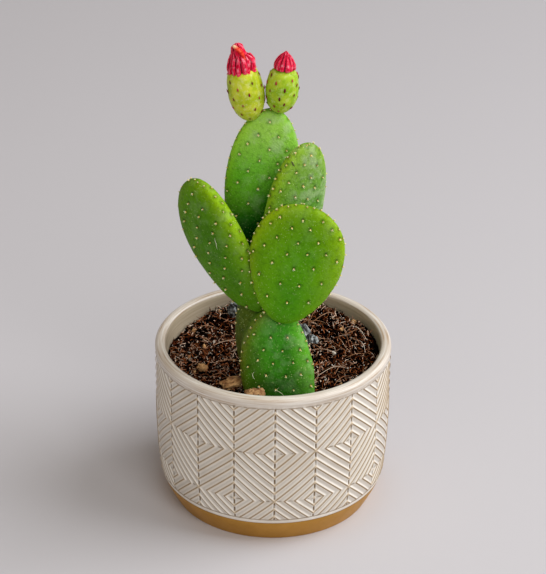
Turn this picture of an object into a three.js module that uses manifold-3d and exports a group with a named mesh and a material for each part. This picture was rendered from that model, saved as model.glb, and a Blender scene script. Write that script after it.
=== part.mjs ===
// A paddle cactus with two closed flowers, planted in a round ceramic pot.
// Millimetres, +Z up. The origin is the centre of the pot's foot, on the surface that it stands on,
// and the plant's front faces -Y.

import * as THREE from 'three';
import { mergeVertices } from 'three/addons/utils/BufferGeometryUtils.js';
import Module from 'manifold-3d';

const wasm = await Module();
wasm.setup();

// Driving dimensions ------------------------------------------------------------------------------

const seatGap = 0.3; // clearance left between two pieces that touch
const weld = 1e-4; // corners closer than this are one corner

const pot = {
  height: 87,
  rimRadius: 60,
  lipRadius: 2.8, // the rim is a rolled edge of this radius
  bodyRadius: 59.6,
  upright: 46, // height from which the outside goes straight up
  flank: { radius: 58.5, height: 22.5 },
  bandTop: 12.9, // height of the painted foot band
  bandRadius: 57,
  heel: { radius: 54.6, height: 7 },
  footRadius: 51,
  footRingWidth: 9,
  recess: 2, // the underside inside the foot ring stands this far off the surface
  floor: 8, // height of the inner floor
  floorRadius: 45,
  corner: [{ inset: 0, height: 30.3 }, { inset: 1.2, height: 18.9 }, { inset: 4, height: 11 }], // inside
  drainRadius: 6,
  segments: 56,
  outsideSteps: 7,
  insideSteps: 5,
};

const soil = {
  level: 76,
  bump: 0.7, // how far each of the two waves of its surface rises
  fineWave: [0.31, 0.27], // radians per millimetre across X and Y
  coarseWave: [0.13, -0.19],
  waveShift: 1.3,
  bank: { rise: 4.5, from: 28, to: 48, facing: 60, spread: 1.35 }, // heaped up at the back right
  toe: [{ inset: 4.6, height: 11.5 }, { inset: 1.7, height: 19.9 }, { inset: 0, height: 32.3 }],
  toeRadius: 44,
  rings: 6,
  segments: 44,
};

// Each pad grows from its base to its tip. turn is the way its flat face looks, in degrees from the
// front, and taper is how much wider it is above its middle than below. bow bends it off its flat
// plane and sway bends it sideways, each by the given rise at mid length.
const pads = {
  base_pad: {
    base: [8.6, -37, 56], tip: [1.5, -31, 122.2], turn: 0,
    width: 35.6, thick: 16, taper: -0.11, sway: -2.8, bow: 0, carriers: [],
  },
  stem_pad: {
    base: [-2.5, -15, 64], tip: [-6.2, -13, 134], turn: 22,
    width: 29, thick: 15, taper: 0, sway: 0, bow: 0, carriers: ['base_pad'],
  },
  front_pad: {
    base: [4.2, -37.6, 117.6], tip: [14, -32, 179.1], turn: 0,
    width: 45.8, thick: 12, taper: 0.2, sway: 1.3, bow: 0, carriers: ['base_pad'],
  },
  left_pad: {
    base: [-2.5, -21, 110], tip: [-40.9, -10, 181.4], turn: -46,
    width: 38.9, thick: 13, taper: 0.22, sway: 0, bow: -4.2,
    carriers: ['base_pad', 'stem_pad', 'front_pad'],
  },
  tall_pad: {
    base: [-3, -4.5, 121.5], tip: [-2.3, 5, 212.8], turn: 0,
    width: 37, thick: 13, taper: 0.11, sway: -3.5, bow: 0, carriers: ['stem_pad'],
  },
  right_pad: {
    base: [4, -12, 126.5], tip: [15.6, -14, 203.3], turn: 35,
    width: 33.2, thick: 11.5, taper: 0.08, sway: -1.1, bow: 0,
    carriers: ['stem_pad', 'tall_pad', 'front_pad'],
  },
};
const padGrid = { around: 24, along: 15 };
const padBlunt = 0.72; // below 1, the pad's rim is blunter than an ellipse's
const thickTaper = 0.5; // a pad's thickness tapers by this share of what its width does

// Each fruit stands on the tall pad's top edge, from base to top, and carries a closed flower, the
// crown, which goes on along the fruit's own line.
const flowers = {
  left: {
    base: [-11.5, 3, 207.4], top: [-16.2, 3, 232.4], fruitWidth: 17.6, taper: -0.07,
    crownRadius: 7.1, crownHeight: 16, petals: 7, twist: 34,
  },
  right: {
    base: [1.9, 3, 211.7], top: [3.9, 3, 234], fruitWidth: 15.8, taper: -0.2,
    crownRadius: 5.6, crownHeight: 9.8, petals: 6, twist: 14,
  },
};
const fruitCut = 0.5; // the fruit is an egg cut flat at this share of its half height above the middle
const fruitGrid = { around: 20, along: 9 };
const petal = { depth: 1.6, spread: 0.9, around: 8, along: 7 };
const budGrid = { around: 12, along: 8 };
const crownBulge = { at: 0.2, reach: 0.85 }; // where the crown is widest, and how far up it closes

// What lies on the soil: centre, half sizes, and turns in degrees about X, Y and Z.
const litter = {
  bark_chip_1: { at: [-9.6, -47, 79.5], half: [5.2, 2.6, 5.2], turn: [-14, 6, 8], look: 'bark' },
  bark_chip_2: { at: [-20.4, -28.5, 77.6], half: [5.4, 3.6, 2.6], turn: [8, -6, 18], look: 'bark' },
  bark_chip_3: { at: [-35.6, -13, 77.2], half: [2.6, 1.9, 1.6], turn: [0, 12, -30], look: 'bark' },
  pebble_1: { at: [13.6, 21.5, 78], half: [4.4, 3.4, 3.4], turn: [10, 0, 25], look: 'pebble' },
  pebble_2: { at: [19.4, 15.6, 77], half: [3, 2.4, 2.2], turn: [0, 15, -20], look: 'pebble' },
  pebble_3: { at: [-20.5, 40.1, 79.9], half: [3.6, 2.8, 3.4], turn: [0, 8, 15], look: 'pebble' },
  perlite_1: { at: [31, 4, 76.6], half: [1.5, 1.3, 1.1], turn: [0, 20, 10], look: 'perlite' },
  perlite_2: { at: [26, -22, 76.6], half: [1.3, 1.5, 1.1], turn: [15, 0, 40], look: 'perlite' },
  perlite_3: { at: [-30, 14, 76.6], half: [1.6, 1.3, 1.2], turn: [0, -10, 70], look: 'perlite' },
  perlite_4: { at: [38, 22, 80.6], half: [1.3, 1.2, 1], turn: [10, 10, 0], look: 'perlite' },
  perlite_5: { at: [-42, -4, 76.6], half: [1.4, 1.1, 1], turn: [0, 5, 55], look: 'perlite' },
};

const looks = {
  glaze: { color: 0xcfc8bd, roughness: 0.45 },
  soil: { color: 0x3a261b, roughness: 0.95 },
  pad: { color: 0x4d8f2a, roughness: 0.55 },
  fruit: { color: 0xa9b83c, roughness: 0.5 },
  petal: { color: 0xc8234f, roughness: 0.5 },
  bud: { color: 0xa51c3c, roughness: 0.5 },
  bark: { color: 0xa9825a, roughness: 0.85 },
  pebble: { color: 0x9aa0a2, roughness: 0.7 },
  perlite: { color: 0xe9e4da, roughness: 0.9 },
};

// Solids ------------------------------------------------------------------------------------------

function merged(geometry) {
  geometry.deleteAttribute('normal');
  geometry.deleteAttribute('uv');
  return mergeVertices(geometry, weld);
}

function solidOf(geometry) {
  const vertProperties = new Float32Array(geometry.attributes.position.array);
  const triVerts = new Uint32Array(geometry.index.array);
  return new wasm.Manifold(new wasm.Mesh({ numProp: 3, vertProperties, triVerts }));
}

function geometryOf(solid) {
  const mesh = solid.getMesh();
  const geometry = new THREE.BufferGeometry();
  geometry.setAttribute('position', new THREE.BufferAttribute(mesh.vertProperties, mesh.numProp));
  geometry.setIndex(new THREE.BufferAttribute(mesh.triVerts, 1));
  return geometry;
}

// The largest piece of a cut solid: the side of the cut that the plant goes on growing from.
function mainBody(solid) {
  return solid.decompose().reduce((best, piece) => (piece.volume() > best.volume() ? piece : best));
}

// A point for each vertex of a unit sphere, from its share across (a), through (b) and along (c).
function shapedSphere(around, along, pointAt) {
  const geometry = merged(new THREE.SphereGeometry(1, around, along));
  const position = geometry.attributes.position;
  for (let i = 0; i < position.count; i += 1) {
    const point = pointAt(position.getX(i), -position.getZ(i), position.getY(i));
    position.setXYZ(i, point[0], point[1], point[2]);
  }
  return geometry;
}

function meshOf(name, look, geometry, matrix) {
  const mesh = new THREE.Mesh(geometry, new THREE.MeshStandardMaterial({ ...looks[look], metalness: 0 }));
  mesh.name = name;
  matrix.decompose(mesh.position, mesh.quaternion, mesh.scale);
  geometry.computeVertexNormals();
  return mesh;
}

// The frame of a piece that grows from one point to another: X across, Y to its back, Z along it.
function growthFrame(from, to, turn) {
  const start = new THREE.Vector3(...from);
  const along = new THREE.Vector3(...to).sub(start).normalize();
  const heading = THREE.MathUtils.degToRad(turn);
  const face = new THREE.Vector3(Math.sin(heading), -Math.cos(heading), 0);
  const across = new THREE.Vector3().crossVectors(along, face).normalize();
  const back = new THREE.Vector3().crossVectors(along, across);
  return new THREE.Matrix4().makeBasis(across, back, along).setPosition(start);
}

const home = new THREE.Matrix4();

function distance(from, to) {
  return new THREE.Vector3(...from).distanceTo(new THREE.Vector3(...to));
}

// Pot ---------------------------------------------------------------------------------------------

const innerRadius = pot.rimRadius - 2 * pot.lipRadius;

function potGeometry() {
  const lipCentre = new THREE.Vector2(pot.rimRadius - pot.lipRadius, pot.height - pot.lipRadius);
  const lipStart = -Math.acos((pot.bodyRadius - lipCentre.x) / pot.lipRadius);
  const quarter = Math.PI / 2;
  const lipAngles = [lipStart, lipStart / 2, 0, quarter / 2, quarter, 1.5 * quarter, 2 * quarter];
  const lip = lipAngles.map((angle) => new THREE.Vector2(
    lipCentre.x + pot.lipRadius * Math.cos(angle),
    lipCentre.y + pot.lipRadius * Math.sin(angle),
  ));
  const outside = new THREE.SplineCurve([
    new THREE.Vector2(pot.footRadius, 0),
    new THREE.Vector2(pot.heel.radius, pot.heel.height),
    new THREE.Vector2(pot.bandRadius, pot.bandTop),
    new THREE.Vector2(pot.flank.radius, pot.flank.height),
    new THREE.Vector2(pot.bodyRadius, pot.upright),
  ]).getPoints(pot.outsideSteps);
  const inside = new THREE.SplineCurve([
    ...pot.corner.map(({ inset, height }) => new THREE.Vector2(innerRadius - inset, height)),
    new THREE.Vector2(pot.floorRadius, pot.floor),
  ]).getPoints(pot.insideSteps);
  const footInner = pot.footRadius - pot.footRingWidth;
  const underside = [
    new THREE.Vector2(pot.drainRadius, pot.floor),
    new THREE.Vector2(pot.drainRadius, pot.recess),
    new THREE.Vector2(footInner - pot.recess, pot.recess),
    new THREE.Vector2(footInner, 0),
  ];
  const profile = [...outside, ...lip, ...inside, ...underside, outside[0].clone()];
  return merged(new THREE.LatheGeometry(profile, pot.segments).rotateX(Math.PI / 2));
}

// Plant -------------------------------------------------------------------------------------------

const blunted = (b) => Math.sign(b) * Math.abs(b) ** padBlunt;

// A pad is a flattened egg whose rim is blunt. grow makes it larger all round.
function padGeometry(pad, grow) {
  const length = distance(pad.base, pad.tip) + 2 * grow;
  const width = pad.width + 2 * grow;
  const thick = pad.thick + 2 * grow;
  const share = widestShare(pad.taper);
  return shapedSphere(padGrid.around, padGrid.along, (a, b, c) => {
    const t = (1 + c) / 2;
    const arch = 4 * t * (1 - t);
    return [
      (width / 2) * a * (1 + pad.taper * c) / share + pad.sway * arch,
      (thick / 2) * blunted(b) * (1 + thickTaper * pad.taper * c) + pad.bow * arch,
      length * t - grow,
    ];
  });
}

// The greatest half width of a unit circle whose width grows by taper along its height.
function widestShare(taper) {
  if (taper === 0) return 1;
  const height = (Math.sqrt(1 + 8 * taper * taper) - 1) / (4 * taper);
  return Math.sqrt(1 - height * height) * (1 + taper * height);
}

const padFrame = (pad) => growthFrame(pad.base, pad.tip, pad.turn);
const padSolid = (pad, grow) => solidOf(padGeometry(pad, grow)).transform(padFrame(pad).elements);

// Cuts a solid's seats by its neighbours and puts it back into its own frame.
function seated(solid, neighbours, frame) {
  const cut = neighbours.reduce((rest, neighbour) => rest.subtract(neighbour), solid);
  return geometryOf(mainBody(cut).transform(frame.clone().invert().elements));
}

function padMesh(name) {
  const pad = pads[name];
  const carriers = pad.carriers.map((carrier) => padSolid(pads[carrier], seatGap));
  return meshOf(name, 'pad', seated(padSolid(pad, 0), carriers, padFrame(pad)), padFrame(pad));
}

// An egg stood on its base and cut flat near its top, where the flower grows.
function fruitGeometry(flower) {
  const height = distance(flower.base, flower.top);
  const radius = flower.fruitWidth / 2 / widestShare(flower.taper);
  const profile = [];
  for (let row = 0; row <= fruitGrid.along; row += 1) {
    const c = (1 + fruitCut) * (1 - Math.cos((Math.PI / 2) * (row / fruitGrid.along))) - 1;
    const r = radius * Math.sqrt(1 - c * c) * (1 + flower.taper * c);
    profile.push(new THREE.Vector2(r, (height * (1 + c)) / (1 + fruitCut)));
  }
  profile.push(new THREE.Vector2(0, height));
  return merged(new THREE.LatheGeometry(profile, fruitGrid.around).rotateX(Math.PI / 2));
}

const crownShare = (t) => Math.sqrt(Math.max(0, 1 - ((t - crownBulge.at) / crownBulge.reach) ** 2));

// One petal of a closed flower, wrapped round the flower's axis.
function petalGeometry(flower, index) {
  const middle = (2 * Math.PI * index) / flower.petals;
  const twist = THREE.MathUtils.degToRad(flower.twist);
  const halfAngle = (petal.spread * Math.PI) / flower.petals;
  return shapedSphere(petal.around, petal.along, (a, b, c) => {
    const t = (1 + c) / 2;
    const radius = flower.crownRadius * crownShare(t) - (petal.depth / 2) * (1 - b);
    const angle = middle + twist * t - halfAngle * a;
    return [radius * Math.sin(angle), -radius * Math.cos(angle), seatGap + flower.crownHeight * t];
  });
}

// The furled inner petals, one body inside the ring of outer ones.
function budGeometry(flower) {
  return shapedSphere(budGrid.around, budGrid.along, (a, b, c) => {
    const t = (1 + c) / 2;
    const clear = flower.crownRadius * crownShare(t) - petal.depth - seatGap;
    return [clear * a, clear * b, seatGap + flower.crownHeight * t];
  });
}

function flowerGroup(side, neighbours) {
  const flower = flowers[side];
  const frame = growthFrame(flower.base, flower.top, 0);
  const fruit = seated(solidOf(fruitGeometry(flower)).transform(frame.elements), neighbours, frame);
  const group = new THREE.Group();
  frame.decompose(group.position, group.quaternion, group.scale);
  group.add(meshOf(`${side}_fruit`, 'fruit', fruit, home));

  const crown = new THREE.Group();
  crown.position.z = distance(flower.base, flower.top);
  crown.add(meshOf(`${side}_bud`, 'bud', budGeometry(flower), home));
  for (let index = 0; index < flower.petals; index += 1) {
    crown.add(meshOf(`${side}_petal_${index + 1}`, 'petal', petalGeometry(flower, index), home));
  }
  group.add(crown);
  return group;
}

// Litter and soil ---------------------------------------------------------------------------------

function litterFrame(piece) {
  const turn = new THREE.Euler(...piece.turn.map(THREE.MathUtils.degToRad));
  return new THREE.Matrix4().makeRotationFromEuler(turn).setPosition(...piece.at);
}

function litterGeometry(piece, grow) {
  const half = piece.half.map((size) => size + grow);
  return merged(new THREE.IcosahedronGeometry(1, 1).scale(...half));
}

function soilBank(x, y) {
  const { rise, from, to, facing, spread } = soil.bank;
  const reach = Math.hypot(x, y);
  if (reach <= from) return 0;
  const share = Math.min(1, (reach - from) / (to - from));
  const facingTurn = THREE.MathUtils.degToRad(facing);
  const toward = (x * Math.cos(facingTurn) + y * Math.sin(facingTurn)) / reach;
  return rise * share * share * (3 - 2 * share) * Math.min(1, Math.max(0, spread * toward));
}

function soilRise(x, y) {
  const fine = Math.sin(x * soil.fineWave[0] + soil.waveShift) * Math.cos(y * soil.fineWave[1]);
  const coarse = Math.sin(x * soil.coarseWave[0] + y * soil.coarseWave[1]);
  return soil.bump * (fine + coarse) + soilBank(x, y);
}

function soilSolid() {
  const wall = innerRadius - seatGap;
  const bottom = pot.floor + seatGap;
  const profile = [
    new THREE.Vector2(0, bottom),
    new THREE.Vector2(soil.toeRadius, bottom),
    ...soil.toe.map(({ inset, height }) => new THREE.Vector2(wall - inset, height)),
  ];
  for (let ring = soil.rings; ring >= 0; ring -= 1) {
    profile.push(new THREE.Vector2((wall * ring) / soil.rings, soil.level));
  }
  const geometry = merged(new THREE.LatheGeometry(profile, soil.segments).rotateX(Math.PI / 2));
  const position = geometry.attributes.position;
  for (let i = 0; i < position.count; i += 1) {
    if (position.getZ(i) > soil.level - soil.bump) {
      position.setZ(i, soil.level + soilRise(position.getX(i), position.getY(i)));
    }
  }
  return solidOf(geometry);
}

// The object --------------------------------------------------------------------------------------

const cactus = new THREE.Group();
cactus.add(meshOf('pot', 'glaze', potGeometry(), home));

const plant = new THREE.Group();
for (const name of Object.keys(pads)) plant.add(padMesh(name));
const tallPad = padSolid(pads.tall_pad, seatGap);
plant.add(flowerGroup('left', [tallPad]));
plant.add(flowerGroup('right', [tallPad]));
cactus.add(plant);

const litterGroup = new THREE.Group();
const buried = ['base_pad', 'stem_pad'].map((name) => padSolid(pads[name], seatGap));
for (const [name, piece] of Object.entries(litter)) {
  const frame = litterFrame(piece);
  const solid = solidOf(litterGeometry(piece, 0)).transform(frame.elements);
  litterGroup.add(meshOf(name, piece.look, seated(solid, buried, frame), frame));
  buried.push(solidOf(litterGeometry(piece, seatGap)).transform(frame.elements));
}
cactus.add(litterGroup);
cactus.add(meshOf('soil', 'soil', seated(soilSolid(), buried, home), home));

export default cactus;
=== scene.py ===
import math
import random

import bpy
import numpy as np
from mathutils import Matrix, Vector, noise


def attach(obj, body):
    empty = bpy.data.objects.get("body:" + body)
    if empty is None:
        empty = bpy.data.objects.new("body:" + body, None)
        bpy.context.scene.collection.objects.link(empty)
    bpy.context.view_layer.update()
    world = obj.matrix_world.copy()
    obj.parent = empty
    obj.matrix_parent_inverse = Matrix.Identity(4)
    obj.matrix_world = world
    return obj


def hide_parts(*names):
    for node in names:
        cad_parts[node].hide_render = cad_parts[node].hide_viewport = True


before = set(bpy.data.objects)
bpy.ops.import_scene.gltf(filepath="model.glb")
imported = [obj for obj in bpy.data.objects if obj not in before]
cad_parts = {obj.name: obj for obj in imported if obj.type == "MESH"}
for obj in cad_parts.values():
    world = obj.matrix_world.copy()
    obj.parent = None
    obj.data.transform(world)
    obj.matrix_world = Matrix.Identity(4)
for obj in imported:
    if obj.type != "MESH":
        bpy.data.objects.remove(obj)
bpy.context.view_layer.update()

mm = 0.001
print("frame loaded,", len(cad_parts), "nodes")


def tint(code):  # red, green and blue as hex pairs, to the linear values a shader takes
    parts = [int(code[i:i + 2], 16) / 255 for i in (0, 2, 4)]
    return tuple(p / 12.92 if p <= 0.04045 else ((p + 0.055) / 1.055) ** 2.4 for p in parts) + (1.0,)


class Value:
    # one number of a material as it varies over the surface; arithmetic on it adds Math nodes
    def __init__(self, finish, socket):
        self.finish, self.socket = finish, socket

    def maths(self, operation, *numbers):
        return self.finish.add("ShaderNodeMath", {"operation": operation}, dict(enumerate(numbers)))

    def __add__(self, other):
        return self.maths("ADD", self, other)

    def __radd__(self, other):
        return self.maths("ADD", other, self)

    def __sub__(self, other):
        return self.maths("SUBTRACT", self, other)

    def __rsub__(self, other):
        return self.maths("SUBTRACT", other, self)

    def __mul__(self, other):
        return self.maths("MULTIPLY", self, other)

    def __rmul__(self, other):
        return self.maths("MULTIPLY", other, self)

    def __truediv__(self, other):
        return self.maths("DIVIDE", self, other)

    def __pow__(self, other):
        return self.maths("POWER", self, other)

    def __rpow__(self, other):
        return self.maths("POWER", other, self)

    def __abs__(self):
        return self.maths("ABSOLUTE", self)

    def __neg__(self):
        return self.maths("MULTIPLY", self, -1.0)

    def sign(self):
        return self.maths("SIGN", self)

    def rounded(self):
        return self.maths("ROUND", self)

    def above(self, limit):
        return self.maths("GREATER_THAN", self, limit)

    def least(self, other):
        return self.maths("MINIMUM", self, other)

    def most(self, other):
        return self.maths("MAXIMUM", self, other)

    def between(self, low, high):  # 0 at low, 1 at high, smooth between them
        return self.finish.add("ShaderNodeMapRange", {"interpolation_type": "SMOOTHSTEP"},
                               {"Value": self, "From Min": low, "From Max": high})

    def bell(self, middle, width):  # 1 at middle, falling to nothing about twice width away
        away = (self - middle) / width
        return 2.718 ** -(away * away)


class Finish:
    # a material, made by adding nodes to it
    def __init__(self, name, **fixed):
        self.material = bpy.data.materials.new(name)
        self.material.use_nodes = True
        self.tree = self.material.node_tree
        self.shader = self.tree.nodes["Principled BSDF"]
        for socket, value in fixed.items():
            self.shader.inputs[socket.replace("_", " ")].default_value = value

    def add(self, kind, settings=None, sockets=None, out=0):
        # any node: its type, its settings, then the values or links of its sockets
        node = self.tree.nodes.new(kind)
        for setting, value in (settings or {}).items():
            if setting == "stops":
                ramp = node.color_ramp
                while len(ramp.elements) < len(value):
                    ramp.elements.new(1.0)
                for element, (place, colour) in zip(ramp.elements, value):
                    element.position, element.color = place, colour
            else:
                setattr(node, setting, value)
        for socket, value in (sockets or {}).items():
            if isinstance(value, Value):
                self.tree.links.new(value.socket, node.inputs[socket])
            else:
                node.inputs[socket].default_value = value
        return Value(self, node.outputs[out])

    def place(self):
        return self.add("ShaderNodeTexCoord", out="Object")

    def axes(self, vector):
        split = self.add("ShaderNodeSeparateXYZ", sockets={0: vector})
        outputs = split.socket.node.outputs
        return [Value(self, outputs[k]) for k in range(3)]

    def mark(self, name, out="Fac"):
        return self.add("ShaderNodeAttribute", {"attribute_name": name}, out=out)

    def grain(self, scale, detail, at=None):
        sockets = {"Scale": scale, "Detail": detail, "Roughness": 0.55, "Vector": at or self.place()}
        return self.add("ShaderNodeTexNoise", sockets=sockets)

    def cells(self, scale):
        sockets = {"Scale": scale, "Vector": self.place()}
        return self.add("ShaderNodeTexVoronoi", sockets=sockets, out="Distance")

    def ramp(self, value, *stops):
        return self.add("ShaderNodeValToRGB", {"stops": [(p, tint(c)) for p, c in stops]}, {0: value})

    def mix(self, share, under, over):
        under, over = (tint(c) if isinstance(c, str) else c for c in (under, over))
        return self.add("ShaderNodeMix", {"data_type": "RGBA"}, {0: share, 6: under, 7: over}, out=2)

    def coats(self, colour, *layers):  # each layer is how much of it shows, and its colour
        for share, over in layers:
            colour = self.mix(share, colour, over)
        return colour

    def bump(self, height, strength, reach):
        return self.add("ShaderNodeBump", sockets={"Height": height, "Strength": strength, "Distance": reach})

    def wear(self, **links):
        for socket, value in links.items():
            self.tree.links.new(value.socket, self.shader.inputs[socket.replace("_", " ")])
        return self.material


def toneFinish(name, stops, **fixed):  # a material whose colour follows each small body's tone
    f = Finish(name, **fixed)
    return f.wear(Base_Color=f.ramp(f.mark("tone"), *stops))


def table(fields, rows):  # a dictionary for each row, from the names of its fields
    return {name: dict(zip(fields.split(), values)) for name, values in rows.items()}


def addObject(name, data):
    added = bpy.data.objects.new(name, data)
    bpy.context.scene.collection.objects.link(added)
    return added


# meshes are made in millimetres

def makePiece(name, points, faces, material, slot=None, stands=(), marks=None, smooth=True):
    mesh = bpy.data.meshes.new(name)
    mesh.from_pydata((np.asarray(points, float) * mm).tolist(), [], faces)
    mesh.update()
    for mark, values in (marks or {}).items():
        values = np.asarray(values, np.float32)
        kind, field = ("FLOAT", "value") if values.ndim == 1 else ("FLOAT_VECTOR", "vector")
        mesh.attributes.new(mark, kind, "POINT").data.foreach_set(field, values.ravel())
    mesh.materials.append(material)
    if smooth:
        mesh.shade_smooth()
    piece = addObject(name, mesh)
    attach(piece, "root")
    if stands:
        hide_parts(*stands)
    print(name, len(mesh.vertices), "points")


def unit(vectors):
    return vectors / np.maximum(np.linalg.norm(vectors, axis=-1, keepdims=True), 1e-6)


def turns(count):
    return np.arange(count) * 2 * math.pi / count


def circle(count, side, other):  # points evenly round a circle, or an ellipse, given by its two half axes
    angle = turns(count)[:, None]
    return np.cos(angle) * side + np.sin(angle) * other


def onAxis(radius, turn, z):  # points round an upright axis, turned from the front
    return np.stack(np.broadcast_arrays(radius * np.sin(turn), -radius * np.cos(turn), z), axis=-1)


def gridFaces(rows, columns):  # faces of rings of points, each ring closed on itself
    faces = []
    for low in range(0, (rows - 1) * columns, columns):
        for column in range(columns):
            ahead, high = (column + 1) % columns, low + columns
            faces.append((low + column, low + ahead, high + ahead, high + column))
    return faces


def cappedFaces(rows, columns):  # the same, with each end drawn to a point; those two points come last
    faces, count = gridFaces(rows, columns), rows * columns
    for k in range(columns):
        ahead = (k + 1) % columns
        faces += [(count, ahead, k), (count - columns + k, count - columns + ahead, count + 1)]
    return faces


def tubeFaces(rows, columns):  # the same, with a flat face at each end
    ends = [tuple(range(columns))[::-1], tuple((rows - 1) * columns + k for k in range(columns))]
    return gridFaces(rows, columns) + ends


def sphereGrid(around, along):  # points of a unit sphere, as shares across, through and along it, and faces
    ring, angle = np.meshgrid(np.arange(1, along) * math.pi / along, turns(around), indexing="ij")
    shares = [np.sin(ring) * np.cos(angle), np.sin(ring) * np.sin(angle), -np.cos(ring)]
    points = np.vstack([np.stack(shares, axis=-1).reshape(-1, 3), (0, 0, -1), (0, 0, 1)])
    return points, cappedFaces(along - 1, around)


class Pile:
    # many small shapes gathered into one mesh, each with a tone of its own
    def __init__(self):
        self.points, self.faces, self.tones, self.count = [], [], [], 0

    def add(self, points, faces, tone):
        self.points.append(points)
        self.faces += [tuple(k + self.count for k in face) for face in faces]
        self.tones.append(np.full(len(points), tone))
        self.count += len(points)

    def piece(self, name, material, **rest):
        marks = {"tone": np.concatenate(self.tones)}
        makePiece(name, np.vstack(self.points), self.faces, material, marks=marks, **rest)


def strand(path, widths, sides, flat=1.0):
    # a thin closed body along a path; flat below 1 presses it into a strip
    path, widths = np.asarray(path, float), np.asarray(widths)
    ahead = unit(np.gradient(path, axis=0))
    side = unit(np.cross(ahead, (0.31, -0.22, 0.92)))
    up = np.cross(side, ahead)
    rings = [point + circle(sides, one, flat * other) * wide / 2
             for point, one, other, wide in zip(path, side, up, widths)]
    return np.vstack(rings), tubeFaces(len(path), sides)


def growthFrame(start, end, turn=0):
    # start, then the directions across, back and along a piece that grows from start to end
    start, end = np.array(start, float), np.array(end, float)
    length = np.linalg.norm(end - start)
    along = (end - start) / length
    heading = math.radians(turn)
    across = unit(np.cross(along, (math.sin(heading), -math.cos(heading), 0)))
    return start, np.array([across, np.cross(along, across), along]), length


def widestShare(taper):
    if taper == 0:
        return 1.0
    height = (math.sqrt(1 + 8 * taper * taper) - 1) / (4 * taper)
    return math.sqrt(1 - height * height) * (1 + taper * height)


def smoothNoise(points, scale, seed):  # one value from -1 to 1 for each point
    shift = Vector((seed * 7.3, seed * 3.1, -seed * 5.7))
    return np.array([noise.noise(Vector(p) * scale + shift) for p in points])


# the camera, the lamps and the floor

view = {
    "eye": (-0.4, -1056, 695),  # millimetres
    "down": 28.7, "roll": 0.6, "lens": 150.5,
}
lamps = table("power place size colour", {
    "key": (54.0, (1.7, 0.03, 1.75), 1.9, "f7faff"),
    "front": (9.0, (0.45, -1.25, 1.15), 0.9, "ffffff"),
})
studio = {
    "fill": 0.37, "fillTint": "fff6ec", "near": "c9c6c8", "far": "c4c1c3",  # the sweep's colours: its own colour at the front, and a darker one further back as painted shade
    "halfWidth": 4.0, "front": -3.0, "back": 2.2, "bend": 1.2, "top": 4.0,  # and its sizes in metres
}


def addCamera():
    camera = addObject("camera", bpy.data.cameras.new("camera"))
    camera.data.lens = view["lens"]
    camera.data.clip_end = 20
    tilt = Matrix.Rotation(math.radians(90 - view["down"]), 4, "X")
    roll = Matrix.Rotation(math.radians(view["roll"]), 4, "Z")
    camera.matrix_world = Matrix.Translation(Vector(view["eye"]) * mm) @ tilt @ roll
    bpy.context.scene.camera = camera


def addLamp(name, power, place, size, colour):
    lamp = bpy.data.lights.new(name, "AREA")
    lamp.energy, lamp.size, lamp.color = power, size, tint(colour)[:3]
    holder = addObject(name, lamp)
    holder.location = place
    aim = Vector((0, 0, 0.1)) - Vector(place)
    holder.rotation_euler = aim.to_track_quat("-Z", "Y").to_euler()


def addStudio():
    world = bpy.data.worlds.new("studio")
    bpy.context.scene.world = world
    world.use_nodes = True
    backing = world.node_tree.nodes["Background"]
    backing.inputs["Color"].default_value = tint(studio["fillTint"])
    backing.inputs["Strength"].default_value = studio["fill"]
    for name, lamp in lamps.items():
        addLamp(name, **lamp)
    paper = Finish("sweepPaper", Roughness=0.9)
    back = paper.axes(paper.place())[1]
    # painted shade: the paper darkens towards the back
    paper.wear(Base_Color=paper.mix(back.between(0.1, 0.8), studio["near"], studio["far"]))
    mesh = bpy.data.meshes.new("sweep")
    bend = studio["bend"]
    rail = [(studio["front"], 0.0)]
    rail += [(studio["back"] + bend * math.sin(turn), bend - bend * math.cos(turn))
             for turn in np.linspace(0, math.pi / 2, 13)]
    rail.append((studio["back"] + bend, studio["top"]))
    points = [(side * studio["halfWidth"], y, z) for y, z in rail for side in (-1, 1)]
    mesh.from_pydata(points, [], [(2 * k, 2 * k + 1, 2 * k + 3, 2 * k + 2) for k in range(len(rail) - 1)])
    mesh.materials.append(paper.material)
    mesh.shade_smooth()
    floor = addObject("sweep", mesh)


addCamera()
addStudio()
bpy.context.scene.view_settings.view_transform = "Standard"
print("camera and studio ready")


# the pot

pot = {
    "height": 87, "rimRadius": 60, "lipRadius": 2.8, "bodyRadius": 59.6, "upright": 46,
    "flank": (58.5, 22.5), "bandTop": 12.9, "bandRadius": 57, "heel": (54.6, 7), "footRadius": 51,
    "footRing": 9, "recess": 2, "floor": 8, "floorRadius": 45, "drainRadius": 6,
    "lipSquare": 0.78,  # 1 is a round lip, less is squarer
    "lipSteps": 14,
    "footRows": (0.0, 0.5, 1.6, 3.2, 5.0, 7.0, 9.0, 11.0, 12.4, 12.8),  # heights of the foot's rings
    "glazeEdge": ((13.0, -0.12), (13.3, 0.1), (14.4, 0.12)),  # height, and how far the glaze stands out
    "wallRows": (80, 76, 70, 50),
    "corner": ((0, 30.3), (1.2, 18.9), (4, 11)),  # inset from the inner wall, and height
}
relief = {
    "panels": 18, "panelWidth": 20.8, "firstLine": 1.4,  # degrees round from the front to a panel's edge
    "level": 55.4, "tier": 28.4,  # height of one fold line, and the distance to the next
    "ribsAcross": 4, "ribsUp": 6, "top": 81.4, "bottom": 15.0,
    "crest": 0.32, "trough": 0.72, "groove": 0.4, "shoulder": 0.12,
    "fade": 0.8, "step": 0.3, "stepWidth": 0.35,  # how the ribs end at the top and bottom
    "steps": 32,  # mesh columns in a panel
}
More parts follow.
